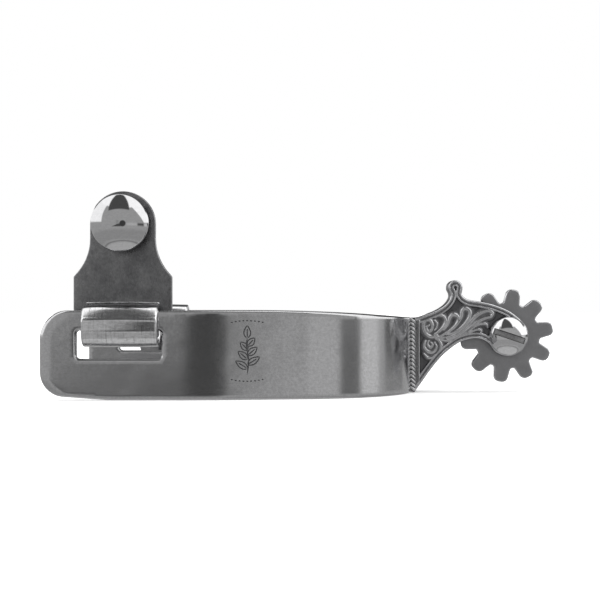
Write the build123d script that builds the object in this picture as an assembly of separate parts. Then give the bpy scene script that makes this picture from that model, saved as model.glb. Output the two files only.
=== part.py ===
from build123d import *
import math
import os

# A western riding spur for one boot: a steel heel band, a cast shank with a chap guard, a ten-point rowel on a
# screwed pin, and a swinging strap hanger with a domed button on each arm.
# +X runs rearward along the shank, +Z is up, and -Y is the near arm. The origin is in the middle of the band's
# thickness at the back of the heel, on the bottom edge. Millimetres.

# ---- driving dimensions -------------------------------------------------------------------------------------
BAND_HEIGHT = 25.4
BAND_THICK = 3.2
BAND_EDGE_R = 0.8  # rounding of every long edge of the band
HEEL_R = 36.6  # mid-thickness radius of the heel
SPLAY = 9.6  # degrees by which the arms spread as they leave the heel
BEND_R = 86.0  # mid-thickness radius of the bend that brings each arm back to parallel
BEND_X = -67.0  # where that bend ends and the straight arm begins
ARM_END_X = -106.1
HEEL_TOP_DROP = 2.2  # the top edge is this much lower at the heel
TOP_SLOPE_START_X = -50.0

SLOT_LENGTH = 24.3
SLOT_CENTRE_X = -83.5
SLOT_BOTTOM_Z = 11.7
SLOT_CORNER_R = 1.0
BAR_HEIGHT = 5.7  # of the bar left above the slot, which the hanger swings on

SHEET = 1.6  # thickness of the hanger's sheet steel
LOOP_CLEAR_R = 3.2  # clear radius that the loop keeps around the bar's centre
LOOP_SLACK = 2.77  # how much longer the loop is than it needs to be
LOOP_WIDTH = 21.4
HANGER_X = -83.0
PLATE_WIDTH = 28.2
PLATE_HEAD_R = 9.4
PLATE_HEAD_V = 27.55  # head centre above the swing axis
PLATE_SHOULDER_V = 12.6  # where the plate is at its full width
PLATE_FOOT_V = 2.6
FAR_REST = 119.0  # the far hanger lies this far outward from upright, its button on the ground

BUTTON_R = 8.15
BUTTON_DOME = 3.5
CAP_SHEET = 0.8
CAP_FOOT = 4.9  # strap room between plate and cap
NECK_R = 3.0
TENON_R = 1.9
WASHER_R = 4.5
WASHER_THICK = 0.8
PEEN_R = 3.2
PEEN_HEIGHT = 1.1

ROPE_R = 1.2
ROPE_X = 1.5
ROPE_FOOT_Z = 0.5
ROPE_TOP_Z = 22.9

AXLE_X = 31.3
AXLE_Z = 17.45
SHANK_THICK = 10.4
FORK_GAP = 3.8
ROWEL_R = 14.6
ROWEL_ROOT_R = 10.5
ROWEL_THICK = 3.0
ROWEL_TEETH = 10
ROWEL_PHASE = 9.6
TOOTH_TIP_R = 1.95
BOSS_R = 6.2
BARREL_R = 2.5
SCREW_R = 1.5
HEAD_R = 5.95
HEAD_DOME = 3.3
HEAD_RIM = 0.5
DRIVE_WIDTH = 1.5
DRIVE_DEPTH = 2.0
DRIVE_TILT = 18.4  # degrees by which the screwdriver slot falls towards the rear
RUNNING = 0.1  # radial clearance of the rowel on its barrel
HOLE_PLAY = 0.05

# ---- worked out from them -----------------------------------------------------------------------------------
TILT = math.radians(SPLAY)
ARC_END = math.pi / 2 - TILT
HEEL_CENTRE_X = -HEEL_R
HEEL_END_X = HEEL_CENTRE_X + HEEL_R * math.cos(ARC_END)
FLANK_X = BEND_X + BEND_R * math.sin(TILT)  # the sloping flank runs from here to the heel
FLANK_Y = HEEL_R * math.sin(ARC_END) + (HEEL_END_X - FLANK_X) * math.tan(TILT)
ARM_Y = FLANK_Y + BEND_R * (1 - math.cos(TILT))
BAR_Z = BAND_HEIGHT - BAR_HEIGHT / 2
SLOT_TOP_Z = BAND_HEIGHT - BAR_HEIGHT
LOOP_MID_R = LOOP_CLEAR_R + SHEET / 2
PLATE_U = -LOOP_MID_R
PLATE_FRONT_U = PLATE_U + SHEET / 2
PLATE_BACK_U = PLATE_U - SHEET / 2
BAND_OUTER_R = HEEL_R + BAND_THICK / 2
HALF_SHANK = SHANK_THICK / 2


# ---- heel band ----------------------------------------------------------------------------------------------
def arm_side(offset, sign):
    """One side of the band in plan, from the free end to the heel's middle, offset outward from mid-thickness."""
    bend_y = ARM_Y - BEND_R

    def on_bend(angle):
        r = BEND_R + offset
        return (BEND_X + r * math.sin(angle), sign * (bend_y + r * math.cos(angle)))

    def on_heel(angle):
        r = HEEL_R + offset
        return (HEEL_CENTRE_X + r * math.cos(angle), sign * r * math.sin(angle))

    return [
        Line((ARM_END_X - 1, sign * (ARM_Y + offset)), on_bend(0)),
        ThreePointArc(on_bend(0), on_bend(TILT / 2), on_bend(TILT)),
        Line(on_bend(TILT), on_heel(ARC_END)),
        ThreePointArc(on_heel(ARC_END), on_heel(ARC_END / 2), on_heel(0)),
    ]


def plan_face():
    out, inn = BAND_THICK / 2, -BAND_THICK / 2
    edges = []
    for sign in (1, -1):
        edges += arm_side(out, sign) + arm_side(inn, sign)
        edges.append(Line((ARM_END_X - 1, sign * (ARM_Y + out)), (ARM_END_X - 1, sign * (ARM_Y + inn))))
    return make_face(edges)


def side_face():
    """The band from the side: rounded free ends, a flat foot, and a top edge that falls towards the heel."""
    foot_rise = 1.4
    end_x = 4.0
    fall = HEEL_TOP_DROP / (TOP_SLOPE_START_X**2)
    drop = fall * (end_x - TOP_SLOPE_START_X) ** 2
    mid_x = (end_x + TOP_SLOPE_START_X) / 2
    mid_z = BAND_HEIGHT - fall * (mid_x - TOP_SLOPE_START_X) ** 2
    outline = [
        Line((end_x, 0), (-86, 0)),
        Line((-86, 0), (ARM_END_X, foot_rise)),
        Line((ARM_END_X, foot_rise), (ARM_END_X, BAND_HEIGHT)),
        Line((ARM_END_X, BAND_HEIGHT), (TOP_SLOPE_START_X, BAND_HEIGHT)),
        ThreePointArc((TOP_SLOPE_START_X, BAND_HEIGHT), (mid_x, mid_z), (end_x, BAND_HEIGHT - drop)),
        Line((end_x, BAND_HEIGHT - drop), (end_x, 0)),
    ]
    face = make_face(outline)
    corners = face.vertices().group_by(Axis.X)[0].sort_by(Axis.Y)
    face = fillet(corners[0], 7.0)
    corner = face.vertices().filter_by(lambda v: abs(v.Y - BAND_HEIGHT) < 0.01 and v.X < -100)
    face = fillet(corner, 8.0)
    slot = Rectangle(SLOT_LENGTH, SLOT_TOP_Z - SLOT_BOTTOM_Z)
    slot = fillet(slot.vertices(), SLOT_CORNER_R)
    return face - Pos(SLOT_CENTRE_X, (SLOT_TOP_Z + SLOT_BOTTOM_Z) / 2) * slot


def heel_band():
    tall = extrude(plan_face(), BAND_HEIGHT + 1)
    side = extrude(Plane.XZ * side_face(), 60, both=True)
    band = tall & side

    def on_wall(edge):
        """Edges of the inner and outer walls, as against those across the thickness."""
        a, b = edge @ 0, edge @ 1
        m = edge @ 0.5
        return all(abs(abs(depth(p)) - BAND_THICK / 2) < 0.01 for p in (a, m, b))

    return fillet(band.edges().filter_by(on_wall), BAND_EDGE_R)


def depth(p):
    """How far a point lies outside the band's mid-thickness surface."""
    x, y = p.X, abs(p.Y)
    along = math.cos(TILT) * (x - FLANK_X) - math.sin(TILT) * (y - FLANK_Y)
    if x < BEND_X:
        return y - ARM_Y
    if along < 0:
        return math.hypot(x - BEND_X, y - (ARM_Y - BEND_R)) - BEND_R
    if math.atan2(y, x - HEEL_CENTRE_X) > ARC_END:
        return math.sin(TILT) * (x - FLANK_X) + math.cos(TILT) * (y - FLANK_Y)
    return math.hypot(x - HEEL_CENTRE_X, y) - HEEL_R


# ---- shank --------------------------------------------------------------------------------------------------
def shank_outline():
    """The cast shank from the side: a swept neck, the chap guard's knob on top, and the axle boss at the end."""
    knob_x, knob_z, knob_r = 14.9, 32.45, 2.25
    top = Spline((0.5, 23.1), (5.7, 23.8), (10.4, 25.7), (13.35, 29.6), tangents=((1, 0), (0.1, 1)))
    knob = ThreePointArc((13.35, 29.6), (knob_x - 0.2, knob_z + knob_r), (17.3, 30.2))
    back = Spline((17.3, 30.2), (19.4, 28.6), (25.3, 27.5), (32.0, 24.7), (AXLE_X + BOSS_R, AXLE_Z),
                  tangents=((0.25, -1), (0, -1)))
    boss_end = (AXLE_X + BOSS_R * math.cos(math.radians(200)), AXLE_Z + BOSS_R * math.sin(math.radians(200)))
    boss = ThreePointArc((AXLE_X + BOSS_R, AXLE_Z), (AXLE_X, AXLE_Z - BOSS_R), boss_end)
    belly = Spline(boss_end, (22.0, 16.5), (16.6, 14.9), (9.5, 9.5), (2.2, 0.3), tangents=((-0.6, 0.8), (-0.85, -0.6)))
    foot = Line((2.2, 0.3), (0.5, 0.3))
    base = Line((0.5, 0.3), (0.5, 23.1))
    return make_face([top, knob, back, boss, belly, foot, base])


def across(radius, y0, y1, x=AXLE_X, z=AXLE_Z):
    """A round bar along Y from y0 to y1."""
    return Plane(origin=(x, y0, z), z_dir=(0, 1, 0)) * extrude(Circle(radius), y1 - y0)


def shank():
    body = extrude(Plane.XZ * shank_outline(), HALF_SHANK, both=True)
    body -= Pos(HEEL_CENTRE_X, 0, -5) * extrude(Circle(BAND_OUTER_R), 50)
    body -= across(ROWEL_R + 0.8, -FORK_GAP / 2, FORK_GAP / 2)
    body -= across(BARREL_R + HOLE_PLAY, -20, 20)
    return body


def rope_trim(sign):
    """The twisted wire brazed into the corner between band and shank, down one side."""
    bead = Pos(ROPE_X, sign * (HALF_SHANK + 0.45), ROPE_FOOT_Z) * extrude(Circle(ROPE_R), ROPE_TOP_Z - ROPE_FOOT_Z)
    bead -= Pos(HEEL_CENTRE_X, 0, -5) * extrude(Circle(BAND_OUTER_R), 50)
    return bead - Pos(ROPE_X, 0, BAND_HEIGHT / 2) * Box(20, SHANK_THICK, 50)


# ---- rowel and its pin --------------------------------------------------------------------------------------
def rowel():
    tip_centre = ROWEL_R - TOOTH_TIP_R
    base_half = 2.65
    tooth = make_hull(
        [Pos(tip_centre, 0) * Circle(TOOTH_TIP_R).edge(), Line((ROWEL_ROOT_R - 1, -base_half), (ROWEL_ROOT_R - 1, base_half))]
    )
    star = Circle(ROWEL_ROOT_R)
    for k in range(ROWEL_TEETH):
        star += Rot(0, 0, ROWEL_PHASE + 360 / ROWEL_TEETH * k) * tooth
    hole = Circle(BARREL_R + RUNNING)
    blank = extrude(star - hole, ROWEL_THICK / 2, both=True)
    return Plane(origin=(AXLE_X, 0, AXLE_Z), x_dir=(1, 0, 0), z_dir=(0, -1, 0)) * blank


def domed_head(sign):
    """A round slotted head standing on one cheek of the fork."""
    ball_r = (HEAD_R**2 + HEAD_DOME**2) / (2 * HEAD_DOME)
    profile = make_face(
        [
            Line((0, 0), (HEAD_R, 0)),
            Line((HEAD_R, 0), (HEAD_R, HEAD_RIM)),
            RadiusArc((HEAD_R, HEAD_RIM), (0, HEAD_RIM + HEAD_DOME), -ball_r),
            Line((0, HEAD_RIM + HEAD_DOME), (0, 0)),
        ]
    )
    head = revolve(Plane.XZ * profile, Axis.Z)
    top = HEAD_RIM + HEAD_DOME
    drive = Pos(0, 0, top - DRIVE_DEPTH + 5) * Box(2.2 * HEAD_R, DRIVE_WIDTH, 10)
    head -= Rot(0, 0, -DRIVE_TILT if sign < 0 else DRIVE_TILT) * drive
    seat = Plane(origin=(AXLE_X, sign * HALF_SHANK, AXLE_Z), x_dir=(1, 0, 0), z_dir=(0, sign, 0))
    return seat * head


def pin_barrel():
    bore_start = -HALF_SHANK + 0.2
    barrel = across(BARREL_R, bore_start, HALF_SHANK + 0.1) + domed_head(1)
    return barrel - across(SCREW_R + HOLE_PLAY, bore_start - 1, 3.6)


def pin_screw():
    return across(SCREW_R, -HALF_SHANK - 0.1, 3.2) + domed_head(-1)


# ---- hangers and buttons ------------------------------------------------------------------------------------
def plate_outline():
    """The bell-shaped plate: x along the arm, y up from the swing axis."""
    half = PLATE_WIDTH / 2
    step = half - PLATE_HEAD_R
    flare_r = 15.0
    rise = math.sqrt(flare_r**2 - (flare_r - step) ** 2)
    sides = []
    for s in (1, -1):
        waist = (s * PLATE_HEAD_R, PLATE_SHOULDER_V + rise)
        shoulder = (s * half, PLATE_SHOULDER_V)
        sag = math.asin(rise / flare_r) / 2
        bulge = (s * (PLATE_HEAD_R + flare_r * (1 - math.cos(sag))), waist[1] - flare_r * math.sin(sag))
        sides += [
            Line((s * PLATE_HEAD_R, PLATE_HEAD_V), waist),
            ThreePointArc(waist, bulge, shoulder),
            Line(shoulder, (s * half, PLATE_FOOT_V)),
        ]
    crown = ThreePointArc((PLATE_HEAD_R, PLATE_HEAD_V), (0, PLATE_HEAD_V + PLATE_HEAD_R), (-PLATE_HEAD_R, PLATE_HEAD_V))
    foot = Line((half, PLATE_FOOT_V), (-half, PLATE_FOOT_V))
    return make_face([*sides, crown, foot])


def loop_path():
    """The tongue's mid-line in (outward, up): off the plate, over the bar, down its front and back through the slot."""
    crook, shoulder_r = 1.6, 4.4
    top = LOOP_MID_R
    low = -LOOP_SLACK
    corner = LOOP_MID_R - shoulder_r
    q = math.sqrt(0.5)
    return [
        ThreePointArc((PLATE_U, top + crook), (PLATE_U + crook * (1 - q), top + crook * (1 - q)), (PLATE_U + crook, top)),
        Line((PLATE_U + crook, top), (corner, top)),
        ThreePointArc((corner, top), (corner + shoulder_r * q, corner + shoulder_r * q), (LOOP_MID_R, corner)),
        Line((LOOP_MID_R, corner), (LOOP_MID_R, low)),
        ThreePointArc((LOOP_MID_R, low), (0, low - LOOP_MID_R), (PLATE_U, low)),
        Line((PLATE_U, low), (PLATE_U, PLATE_FOOT_V - 0.1)),
    ]


def hanger_plate():
    """In the hanger's own frame: X along the arm, Y outward from the boot, Z up, the swing axis through the origin."""
    plate = extrude(Plane.XZ * plate_outline(), -SHEET)
    plate = Pos(0, PLATE_BACK_U, 0) * plate
    relief = Pos(0, PLATE_U, PLATE_FOOT_V + 1.25) * Box(LOOP_WIDTH + 0.6, SHEET + 1, 3.5)
    plate -= relief
    plate -= Pos(0, 0, PLATE_HEAD_V) * Rot(90, 0, 0) * Cylinder(TENON_R + HOLE_PLAY, 30)
    path = Plane.YZ * Wire(loop_path())
    section = Plane(path @ 0, x_dir=(1, 0, 0), z_dir=path % 0) * Rectangle(LOOP_WIDTH, SHEET)
    tongue = sweep(section, path)
    tab = Pos(0, PLATE_U, LOOP_MID_R + 1.6 + 0.25) * Box(LOOP_WIDTH, SHEET, 0.5)
    return plate + tab + tongue


def stacked(profile_edges):
    """A turned piece on the button's axis; the profile is (radius, outward)."""
    turned = revolve(make_face(Plane.XZ * Wire(profile_edges)), Axis.Z)
    return Pos(0, 0, PLATE_HEAD_V) * Rot(-90, 0, 0) * turned


def polyline(points):
    return [Line(a, b) for a, b in zip(points, points[1:] + points[:1])]


def button_cap():
    foot = PLATE_FRONT_U + CAP_FOOT
    lip = foot + 0.6
    spring = foot + 1.7
    ball = (BUTTON_R**2 + BUTTON_DOME**2) / (2 * BUTTON_DOME)
    centre = spring + BUTTON_DOME - ball
    inner_r = BUTTON_R - CAP_SHEET
    inner_ball = ball - CAP_SHEET
    inner_spring = centre + math.sqrt(inner_ball**2 - inner_r**2)
    return stacked(
        [
            Line((6.3, foot), (BUTTON_R - 0.5, foot)),
            ThreePointArc((BUTTON_R - 0.5, foot), (BUTTON_R - 0.5 + 0.5 * math.sqrt(0.5), foot + 0.5 * (1 - math.sqrt(0.5))),
                          (BUTTON_R, foot + 0.5)),
            Line((BUTTON_R, foot + 0.5), (BUTTON_R, spring)),
            RadiusArc((BUTTON_R, spring), (0, spring + BUTTON_DOME), -ball),
            Line((0, spring + BUTTON_DOME), (0, centre + inner_ball)),
            RadiusArc((0, centre + inner_ball), (inner_r, inner_spring), inner_ball),
            Line((inner_r, inner_spring), (inner_r, lip)),
            Line((inner_r, lip), (6.3, lip)),
            Line((6.3, lip), (6.3, foot)),
        ]
    )


def button_stud():
    disc = PLATE_FRONT_U + CAP_FOOT + 0.6
    disc_r = BUTTON_R - CAP_SHEET - 0.05
    disc_top = disc + 0.7
    back = PLATE_BACK_U - WASHER_THICK
    peen_end = back - PEEN_HEIGHT
    return stacked(
        polyline([
            (0, disc_top), (disc_r, disc_top), (disc_r, disc), (NECK_R, disc), (NECK_R, PLATE_FRONT_U),
            (TENON_R, PLATE_FRONT_U), (TENON_R, back), (PEEN_R, back), (PEEN_R, back - 0.3),
            (PEEN_R * 0.72, back - 0.85), (PEEN_R * 0.35, peen_end), (0, peen_end),
        ])
    )


def stud_washer():
    inner = TENON_R + HOLE_PLAY
    top, low = PLATE_BACK_U, PLATE_BACK_U - WASHER_THICK
    return stacked(polyline([(inner, top), (WASHER_R, top), (WASHER_R, low), (inner, low)]))


def placed(shape, side):
    """Puts a hanger piece on its arm. The far one hangs at the other end of its loop's slack."""
    if side == "near":
        return Pos(HANGER_X, -ARM_Y, BAR_Z) * Rot(0, 0, 180) * shape
    return Pos(HANGER_X, ARM_Y, BAR_Z) * Rot(-FAR_REST, 0, 0) * Pos(0, 0, LOOP_SLACK) * shape


# ---- write the pieces ---------------------------------------------------------------------------------------
def main():
    nodes = {
        "heel_band": heel_band(),
        "shank": shank(),
        "rope_trim_near": rope_trim(-1),
        "rope_trim_far": rope_trim(1),
        "rowel": rowel(),
        "rowel_pin_barrel": pin_barrel(),
        "rowel_pin_screw": pin_screw(),
    }
    hanger_pieces = {
        "hanger_plate": hanger_plate(),
        "button_cap": button_cap(),
        "button_stud": button_stud(),
        "stud_washer": stud_washer(),
    }
    for side in ("near", "far"):
        for name, shape in hanger_pieces.items():
            nodes[f"{name}_{side}"] = placed(shape, side)
    os.makedirs("parts", exist_ok=True)
    for name, shape in nodes.items():
        export_step(shape, f"parts/{name}.step")


main()
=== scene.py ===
from math import acos, asin, atan2, copysign, cos, degrees, dist, hypot, pi, radians, sin, sqrt, tan

import bmesh
import bpy
import numpy as np
from mathutils import Matrix, Vector
from mathutils.geometry import delaunay_2d_cdt


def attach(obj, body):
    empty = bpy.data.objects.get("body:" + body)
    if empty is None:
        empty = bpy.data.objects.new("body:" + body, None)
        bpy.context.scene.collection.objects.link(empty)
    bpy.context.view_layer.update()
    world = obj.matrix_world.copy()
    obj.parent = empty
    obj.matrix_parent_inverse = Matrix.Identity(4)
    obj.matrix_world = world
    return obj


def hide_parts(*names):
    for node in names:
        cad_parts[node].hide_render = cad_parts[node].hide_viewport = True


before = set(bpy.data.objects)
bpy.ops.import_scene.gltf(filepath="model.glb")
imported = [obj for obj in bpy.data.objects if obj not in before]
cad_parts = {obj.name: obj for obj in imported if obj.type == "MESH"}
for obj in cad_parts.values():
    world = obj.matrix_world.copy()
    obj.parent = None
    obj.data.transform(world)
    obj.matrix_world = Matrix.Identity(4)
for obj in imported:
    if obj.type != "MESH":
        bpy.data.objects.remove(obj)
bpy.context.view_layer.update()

# ==== Studio ==========================================================
# A pale table inside a light tent: two big diffusers left and right, a dim front wall with a round hole for
# the lens, and a dark gap overhead in front. Polished steel shows little but the room round it.
MM = 0.001  # sizes below are in millimetres, as the bench drawing has them


def linear(colour):
    """An sRGB hex colour as linear RGBA."""
    parts = [int(colour[i : i + 2], 16) / 255 for i in (1, 3, 5)]
    return [c / 12.92 if c <= 0.04045 else ((c + 0.055) / 1.055) ** 2.4 for c in parts] + [1.0]


def plug(made, *values, **named):
    """Fills a node's sockets, the first by order and the rest by name, with values, sockets or other nodes."""
    sockets = [s for s in made.inputs if s.enabled]
    chosen = [next(s for s in sockets if s.name == name.replace("_", " ")) for name in named]
    for socket, value in zip(sockets[: len(values)] + chosen, [*values, *named.values()]):
        if isinstance(value, bpy.types.Node):
            value = next(s for s in value.outputs if s.enabled)
        if isinstance(value, bpy.types.NodeSocket):
            made.id_data.links.new(value, socket)
        else:
            socket.default_value = value


def node(tree, kind, *values, **named):
    """Adds a node; names in small letters are its settings, and the others are its sockets."""
    made = tree.nodes.new(kind if "Node" in kind else "ShaderNode" + kind)
    for name in [name for name in named if name.islower()]:
        setattr(made, name, named.pop(name))
    plug(made, *values, **named)
    return made


def put(name, data):
    """A new object in the scene."""
    made = bpy.data.objects.new(name, data)
    bpy.context.scene.collection.objects.link(made)
    return made


lens = bpy.data.cameras.new("camera")
lens.sensor_width = 36.0
lens.lens = 85.3
lens.shift_x = -0.0567
lens.shift_y = 0.0133
lens.clip_start = 0.01
camera = put("camera", lens)
camera.location = (-0.0226, -0.4442, 0.0261)
camera.rotation_euler = (radians(90), 0, 0)
bpy.context.scene.camera = camera
bpy.context.scene.view_settings.view_transform = "Standard"

WALL = 0.43  # brightness of the tent's dim parts
# Each patch has its kind of angles, its left edge and that edge's lean, its right edge and its lean, its low
# and high edges, all in degrees, then its softness and its brightness. Later patches lie over earlier ones.
TENT = [
    ("round", -12.5, 0, -5.5, 0, -9, 9, 2.5, 0.35),
    ("round", 17, 0, 48.5, 0, -5.5, 1, 3.5, 0.57),
    ("round", 50, 0, 70.5, 0, -5.5, 0.5, 3, 0.09),
    ("round", 71, 0, 92, 0, -6, 1, 3, 0.72),
    ("round", 101, 0, 132, 0, -2.6, 5, 1.2, 0.06),
    ("round", -180, 0, 180, 0, -46, -17, 5, 0.35),
    ("round", -180, 0, 180, 0, -54, -50, 2, 0.24),
    ("round", -180, 0, 180, 0, -90, -56, 5, 0.52),
    ("round", -180, 0, -58, 0, 4.5, 90, 2, 1.30),
    ("round", 70, -0.66, 180, 0, 3, 90, 2, 1.42),
    ("round", -180, 0, 180, 0, 46, 90, 2, 1.42),
    ("over", -45, 0.60, 31, -0.62, 42, 103, 2, 0.09),
    ("over", -62, 0, 62, 0, 113, 176, 4, 0.10),
    ("round", -26, 2.6, 2, 0, -9, -0.8, 1.4, 0.09),  # the dark of a hand beside the lens
]
LENS_HOLE = (6.1, -0.5, 8.8)  # azimuth, elevation and radius of the hole that the camera looks through
world = bpy.data.worlds.new("light_tent")
world.use_nodes = True
bpy.context.scene.world = world
air = world.node_tree
air.nodes.clear()
axes = node(air, "SeparateXYZ", node(air, "TexCoord").outputs["Generated"]).outputs
front = node(air, "Math", axes["Y"], -1.0, operation="MULTIPLY")
azimuth = node(air, "Math", axes["X"], front, operation="ARCTAN2")
elevation = node(air, "Math", axes["Z"], operation="ARCSINE")
lateral = node(air, "Math", axes["X"], axes["Z"], operation="ARCTAN2")
pitch = node(air, "Math", axes["Z"], front, operation="ARCTAN2")
directions = {"round": (azimuth, elevation), "over": (lateral, pitch)}


def ramp(value, low, high):
    """Rises smoothly from 0 at low to 1 at high, in degrees; falls where low is above high."""
    return node(air, "MapRange", value, radians(low), radians(high), interpolation_type="SMOOTHSTEP")


def times(a, b):
    """One brightness or coverage times another."""
    return node(air, "Math", a, b, operation="MULTIPLY")


def leaned(across, up, lean, low):
    """The angle across, measured from an edge that leans over as it rises."""
    lift = node(air, "Math", up, radians(low), operation="SUBTRACT")
    return node(air, "Math", lift, -lean, across, operation="MULTIPLY_ADD")


def add_patch(glow, kind, left, left_lean, right, right_lean, low, high, edge, level):
    """The tent's brightness with one more patch laid over it."""
    across, up = directions[kind]
    inside = times(ramp(up, low - edge, low + edge), 1.0 if high == 90 else ramp(up, high + edge, high - edge))
    if left > -180:
        inside = times(inside, ramp(leaned(across, up, left_lean, low), left - edge, left + edge))
    if right < 180:
        inside = times(inside, ramp(leaned(across, up, right_lean, low), right + edge, right - edge))
    return node(air, "Mix", inside, glow, level, data_type="FLOAT")


glow = WALL
for patch in TENT:
    glow = add_patch(glow, *patch)
hole_x, hole_z, hole_r = LENS_HOLE
aside = node(air, "Math", azimuth, radians(hole_x), operation="SUBTRACT")
above = node(air, "Math", elevation, radians(hole_z), operation="SUBTRACT")
off_axis = node(air, "VectorMath", node(air, "CombineXYZ", aside, above), operation="LENGTH")
glow = node(air, "Mix", ramp(off_axis, hole_r + 1.2, hole_r - 1.2), glow, 0.06, data_type="FLOAT")
tent = node(air, "Background", (1, 1, 1, 1), glow)
white = node(air, "Background", (1, 1, 1, 1), 1.0)
seen = node(air, "LightPath").outputs["Is Camera Ray"]
node(air, "OutputWorld", node(air, "MixShader", seen, tent, white))

table_mesh = bpy.data.meshes.new("table")
far = 6.0
corners = [(-far, -far, 0), (far, -far, 0), (far, far, 0), (-far, far, 0)]
table_mesh.from_pydata([Vector(c) - Vector((0, 0, 0.00005)) for c in corners], [], [(0, 1, 2, 3)])
table = put("table", table_mesh)
table.visible_glossy = False
paper = bpy.data.materials.new("white_paper")
paper.use_nodes = True
plug(paper.node_tree.nodes["Principled BSDF"], Base_Color=linear("#f4f4f4"), Roughness=0.9,
     Specular_IOR_Level=0.0, Emission_Color=(1, 1, 1, 1), Emission_Strength=0.35)
table_mesh.materials.append(paper)

lamp = bpy.data.lights.new("overhead", "SUN")
lamp.angle = radians(100)
lamp.energy = 1.9
lamp.specular_factor = 0.0
overhead = put("overhead", lamp)
overhead.location = (0, 0, 1.2)
overhead.visible_glossy = False

# ==== Heel band =======================================================
# One strip of stainless steel an inch wide, slotted near both ends, its corners rounded and its edges broken,
# then bent cold round a former and buffed. The bending leaves faint waves that show in its reflections.
BAND_HEIGHT = 25.4
BAND_THICK = 3.2
EDGE_R = 0.8
HEEL_R = 36.6
SPLAY = radians(9.6)
BEND_R = 86.0
BEND_X = -67.0
ARM_END_X = -106.1
TOP_SLOPE_START_X = -50.0
HEEL_TOP_DROP = 2.2
SLOT_CENTRE_X = -83.5
SLOT_LENGTH = 24.3
SLOT_BOTTOM = 11.7
BAR_HEIGHT = 5.7

HEEL_END_X = -HEEL_R + HEEL_R * sin(SPLAY)
FLANK_X = BEND_X + BEND_R * sin(SPLAY)
FLANK_Y = HEEL_R * cos(SPLAY) + (HEEL_END_X - FLANK_X) * tan(SPLAY)
ARM_Y = FLANK_Y + BEND_R * (1 - cos(SPLAY))


def cornered(points, step=0.6):
    """A closed outline through (x, y, corner radius) points, with round corners and divided runs."""
    outline = []
    count = len(points)
    for k in range(count):
        before, here, after = (np.array(points[(k + j) % count][:2], float) for j in (-1, 0, 1))
        into, out = here - before, after - here
        into, out = into / np.linalg.norm(into), out / np.linalg.norm(out)
        turn = atan2(into[0] * out[1] - into[1] * out[0], into @ out)
        radius = points[k][2]
        cut = radius * tan(abs(turn) / 2)
        if radius and abs(turn) > 0.01:
            side = np.array([-into[1], into[0]]) * copysign(1, turn)
            centre = here - into * cut + side * radius
            start = -side * radius
            pieces = max(3, int(abs(turn) * radius / min(step, radius * 0.3)))
            for i in range(pieces + 1):
                a = turn * i / pieces
                spun = (start[0] * cos(a) - start[1] * sin(a), start[0] * sin(a) + start[1] * cos(a))
                outline.append(centre + spun)
        else:
            outline.append(here)
    filled = []
    for a, b in zip(outline, outline[1:] + outline[:1]):
        pieces = max(1, round(np.linalg.norm(b - a) / step))
        if np.linalg.norm(b - a) > 1e-6:
            filled += [a + (b - a) * i / pieces for i in range(pieces)]
    return np.array(filled)


def inside(points, loops):
    """Which points lie inside the outer loop and outside the holes."""
    hit = np.zeros(len(points), bool)
    for loop in loops:
        for a, b in zip(loop, np.roll(loop, -1, 0)):
            if a[1] == b[1]:
                continue
            spans = (points[:, 1] < a[1]) != (points[:, 1] < b[1])
            x = a[0] + (points[:, 1] - a[1]) * (b[0] - a[0]) / (b[1] - a[1])
            hit ^= spans & (points[:, 0] < x)
    return hit


def nearest(points, others):
    """How far each point is from the nearest of the others."""
    best = np.full(len(points), 1e9)
    for start in range(0, len(others), 200):
        gaps = points[:, None, :] - others[None, start : start + 200, :]
        best = np.minimum(best, np.sqrt((gaps**2).sum(2)).min(1))
    return best


def left_normals(loop):
    """Unit vectors to the left of a closed outline's run, which is inward where it runs anticlockwise."""
    run = np.roll(loop, -1, 0) - np.roll(loop, 1, 0)
    run /= np.linalg.norm(run, axis=1)[:, None]
    return np.stack([-run[:, 1], run[:, 0]], 1)


def grid_in(borders, points, spacing, gap):
    """A triangular grid inside the borders, clear of the points already there."""
    low, high = borders[0].min(0), borders[0].max(0)
    rows = []
    for n, y in enumerate(np.arange(low[1], high[1], spacing * 0.866)):
        row = np.arange(low[0] + (n % 2) * spacing / 2, high[0], spacing)
        rows.append(np.column_stack([row, np.full(len(row), y)]))
    grid = np.concatenate(rows)
    grid = grid[inside(grid, borders)]
    return grid[nearest(grid, points) > spacing * gap]


def loop_edges(count, start=0):
    """Pairs of point numbers round a closed outline."""
    return [(start + i, start + (i + 1) % count) for i in range(count)]


def triangles(points, edges, borders):
    """Joins the points into triangles that keep the edges and fill the borders."""
    out = delaunay_2d_cdt([Vector(p) for p in points], edges, [], 0, 1e-7)
    centres = np.array([np.mean([out[0][i] for i in f], 0) for f in out[2]])
    return [[out[3][i][0] for i in f] for f, keep in zip(out[2], inside(centres, borders)) if keep]


def joined(a, b, count):
    """Quads between two rings of points that start at a and b."""
    return [(a + i, a + (i + 1) % count, b + (i + 1) % count, b + i) for i in range(count)]


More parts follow.
